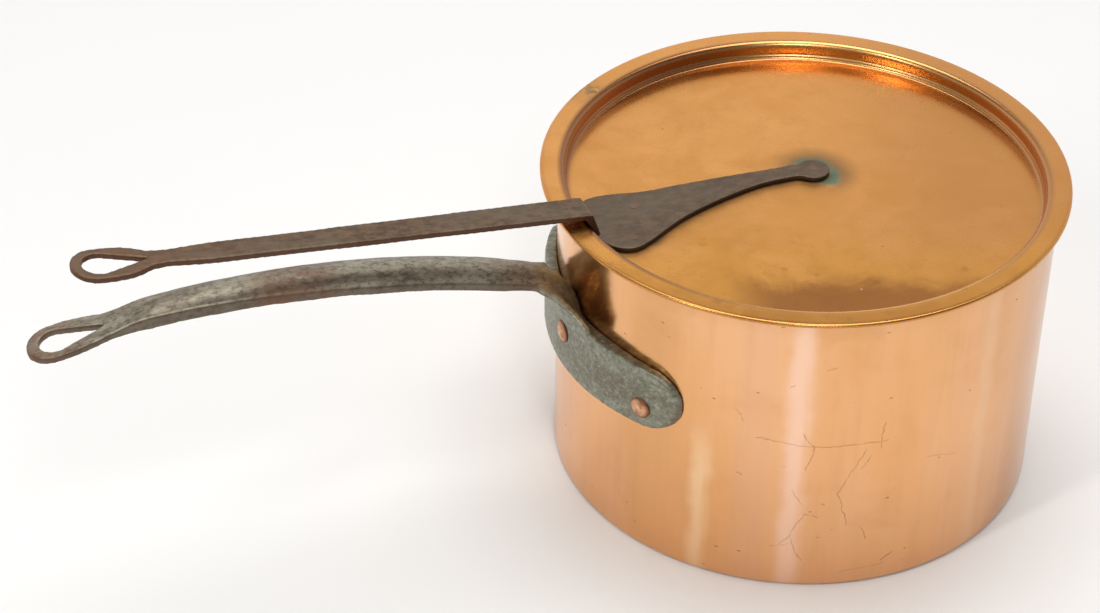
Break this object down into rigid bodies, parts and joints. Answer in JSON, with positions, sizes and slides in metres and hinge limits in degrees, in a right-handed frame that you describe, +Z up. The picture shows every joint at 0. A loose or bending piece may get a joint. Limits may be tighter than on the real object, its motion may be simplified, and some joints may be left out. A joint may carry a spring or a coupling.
{
  "type": "saucepan",
  "caption": "Straight-sided copper saucepan with a tinned inside, a riveted iron handle, and a sunk lift-off lid that has a long iron handle of its own.",
  "frame": {"origin": "centre of the pan's flat underside", "axes": "+Z up, from the underside to the lid; the pan's handle points along -X"},
  "size_m": [0.5054, 0.2542, 0.1955],
  "materials": {
    "pan_copper": "polished and worn",
    "lid_copper": "satin, stained",
    "tin": "dull",
    "iron": "worn, rusty patina",
    "lid_iron": "worn, dark",
    "rivet_copper": "tarnished"
  },
  "bodies": {
    "pan": {"pan_body": "pan_copper", "pan_tin_lining": "tin", "pan_handle": "iron", "handle_rivet_left": "rivet_copper", "handle_rivet_centre": "rivet_copper", "handle_rivet_right": "rivet_copper"},
    "lid": {"lid_disc": "lid_copper", "lid_tin_lining": "tin", "lid_handle": "lid_iron", "lid_rivet_tip": "rivet_copper", "lid_rivet_near": "rivet_copper", "lid_rivet_far": "rivet_copper"}
  },
  "joints": [
    {"name": "lid_lift", "type": "slide", "parent": "pan", "child": "lid", "axis": [0, 0, 1], "range_m": [0, 0.2]}
  ]
}
